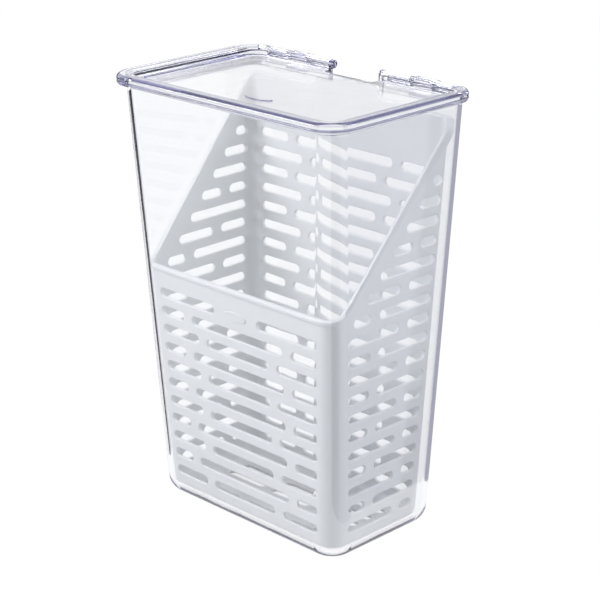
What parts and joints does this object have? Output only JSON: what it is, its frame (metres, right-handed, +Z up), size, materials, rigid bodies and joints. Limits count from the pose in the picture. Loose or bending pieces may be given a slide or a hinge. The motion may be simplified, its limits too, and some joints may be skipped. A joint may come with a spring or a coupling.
{
  "type": "herb keeper",
  "caption": "Tall tapering herb keeper: a clear container with a hinged recessed lid and a white slotted lift-out basket, raked open at the front with a finger tab at the back.",
  "frame": {"origin": "centre of the flat face that the container stands on", "axes": "+Z up, X along the wide front, -Y to the front, +Y to the hinges at the back"},
  "size_m": [0.1598, 0.1072, 0.23],
  "materials": {
    "clear_plastic": "gloss",
    "white_plastic": "satin",
    "pin_steel": "satin"
  },
  "bodies": {
    "container": {"container": "clear_plastic", "hinge_pin_left": "pin_steel", "hinge_pin_right": "pin_steel"},
    "lid": {"lid": "clear_plastic"},
    "basket": {"basket": "white_plastic"}
  },
  "joints": [
    {"name": "lid_hinge", "type": "hinge", "parent": "container", "child": "lid", "pos_m": [0, 0.05145, 0.226], "axis": [-1, 0, 0], "range_deg": [0, 110]},
    {"name": "basket_lift", "type": "slide", "parent": "container", "child": "basket", "axis": [0, 0, 1], "range_m": [0, 0.0183]}
  ],
  "couplings": [
    {"joint": "basket_lift", "follows": "lid_hinge", "m_per_rad": 0.0095}
  ]
}
